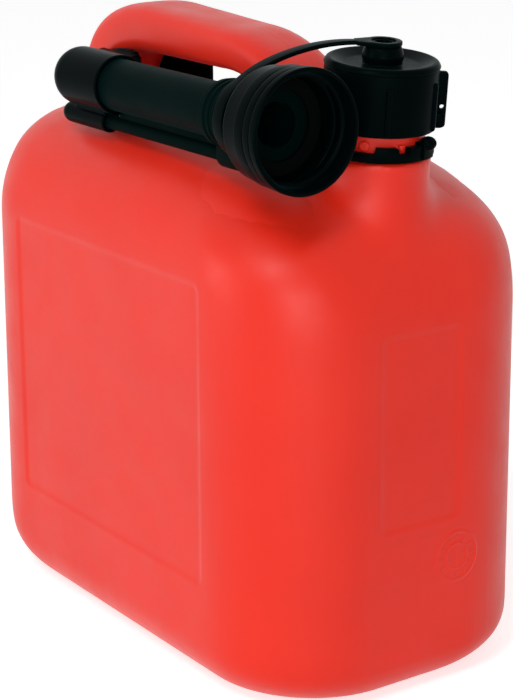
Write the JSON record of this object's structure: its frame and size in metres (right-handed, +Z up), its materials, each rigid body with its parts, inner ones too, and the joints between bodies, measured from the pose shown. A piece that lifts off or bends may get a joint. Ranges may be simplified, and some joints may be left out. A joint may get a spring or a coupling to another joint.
{
  "type": "fuel can",
  "caption": "Upright moulded plastic fuel can with a carrying handle, screw cap on a strap, child-lock ring and a pouring spout stowed in a clip beside the handle.",
  "frame": {"origin": "on the floor under the middle of the can", "axes": "+Z up, +X towards the end with the filler neck, -Y towards the side where the spout is stowed"},
  "size_m": [0.2495, 0.1483, 0.2664],
  "materials": {
    "red_plastic": "satin",
    "black_plastic": "satin",
    "tube_plastic": "matte",
    "strap_plastic": "satin",
    "seal_rubber": "matte"
  },
  "bodies": {
    "can": {"can_body": "red_plastic", "spout_holder": "black_plastic", "lock_ring": "black_plastic", "strap_band": "strap_plastic"},
    "pawl": {"lock_pawl": "black_plastic"},
    "tether_end": {"strap_eyelet": "strap_plastic"},
    "cap": {"cap_shell": "black_plastic", "cap_gasket": "seal_rubber"},
    "spout": {"spout_tube": "tube_plastic", "vent_tube": "tube_plastic", "collar_gasket": "seal_rubber", "strap_ring": "strap_plastic"},
    "union_nut": {"spout_collar": "black_plastic"}
  },
  "joints": [
    {"name": "cap_lift", "type": "slide", "parent": "can", "child": "tether_end", "axis": [0.0872, 0, 0.9962], "range_m": [0, 0.0225], "deforming": ["strap_band"]},
    {"name": "cap_turn", "type": "hinge", "parent": "tether_end", "child": "cap", "pos_m": [0.09112, 0, 0.2135], "axis": [0.0872, 0, 0.9962], "range_deg": [0, 1440], "deforming": ["strap_band"]},
    {"name": "spout_draw", "type": "slide", "parent": "can", "child": "spout", "axis": [1, 0, 0], "range_m": [0, 0.034], "deforming": ["strap_band"]},
    {"name": "collar_spin", "type": "hinge", "parent": "spout", "child": "union_nut", "pos_m": [0.1013, -0.051, 0.238], "axis": [1, 0, 0], "continuous": true},
    {"name": "pawl_press", "type": "slide", "parent": "can", "child": "pawl", "axis": [-0.0872, 0, -0.9962], "range_m": [0, 0.0024], "stiffness_N_per_m": 800}
  ],
  "couplings": [
    {"joint": "cap_lift", "follows": "cap_turn", "m_per_rad": 0.00089127}
  ]
}
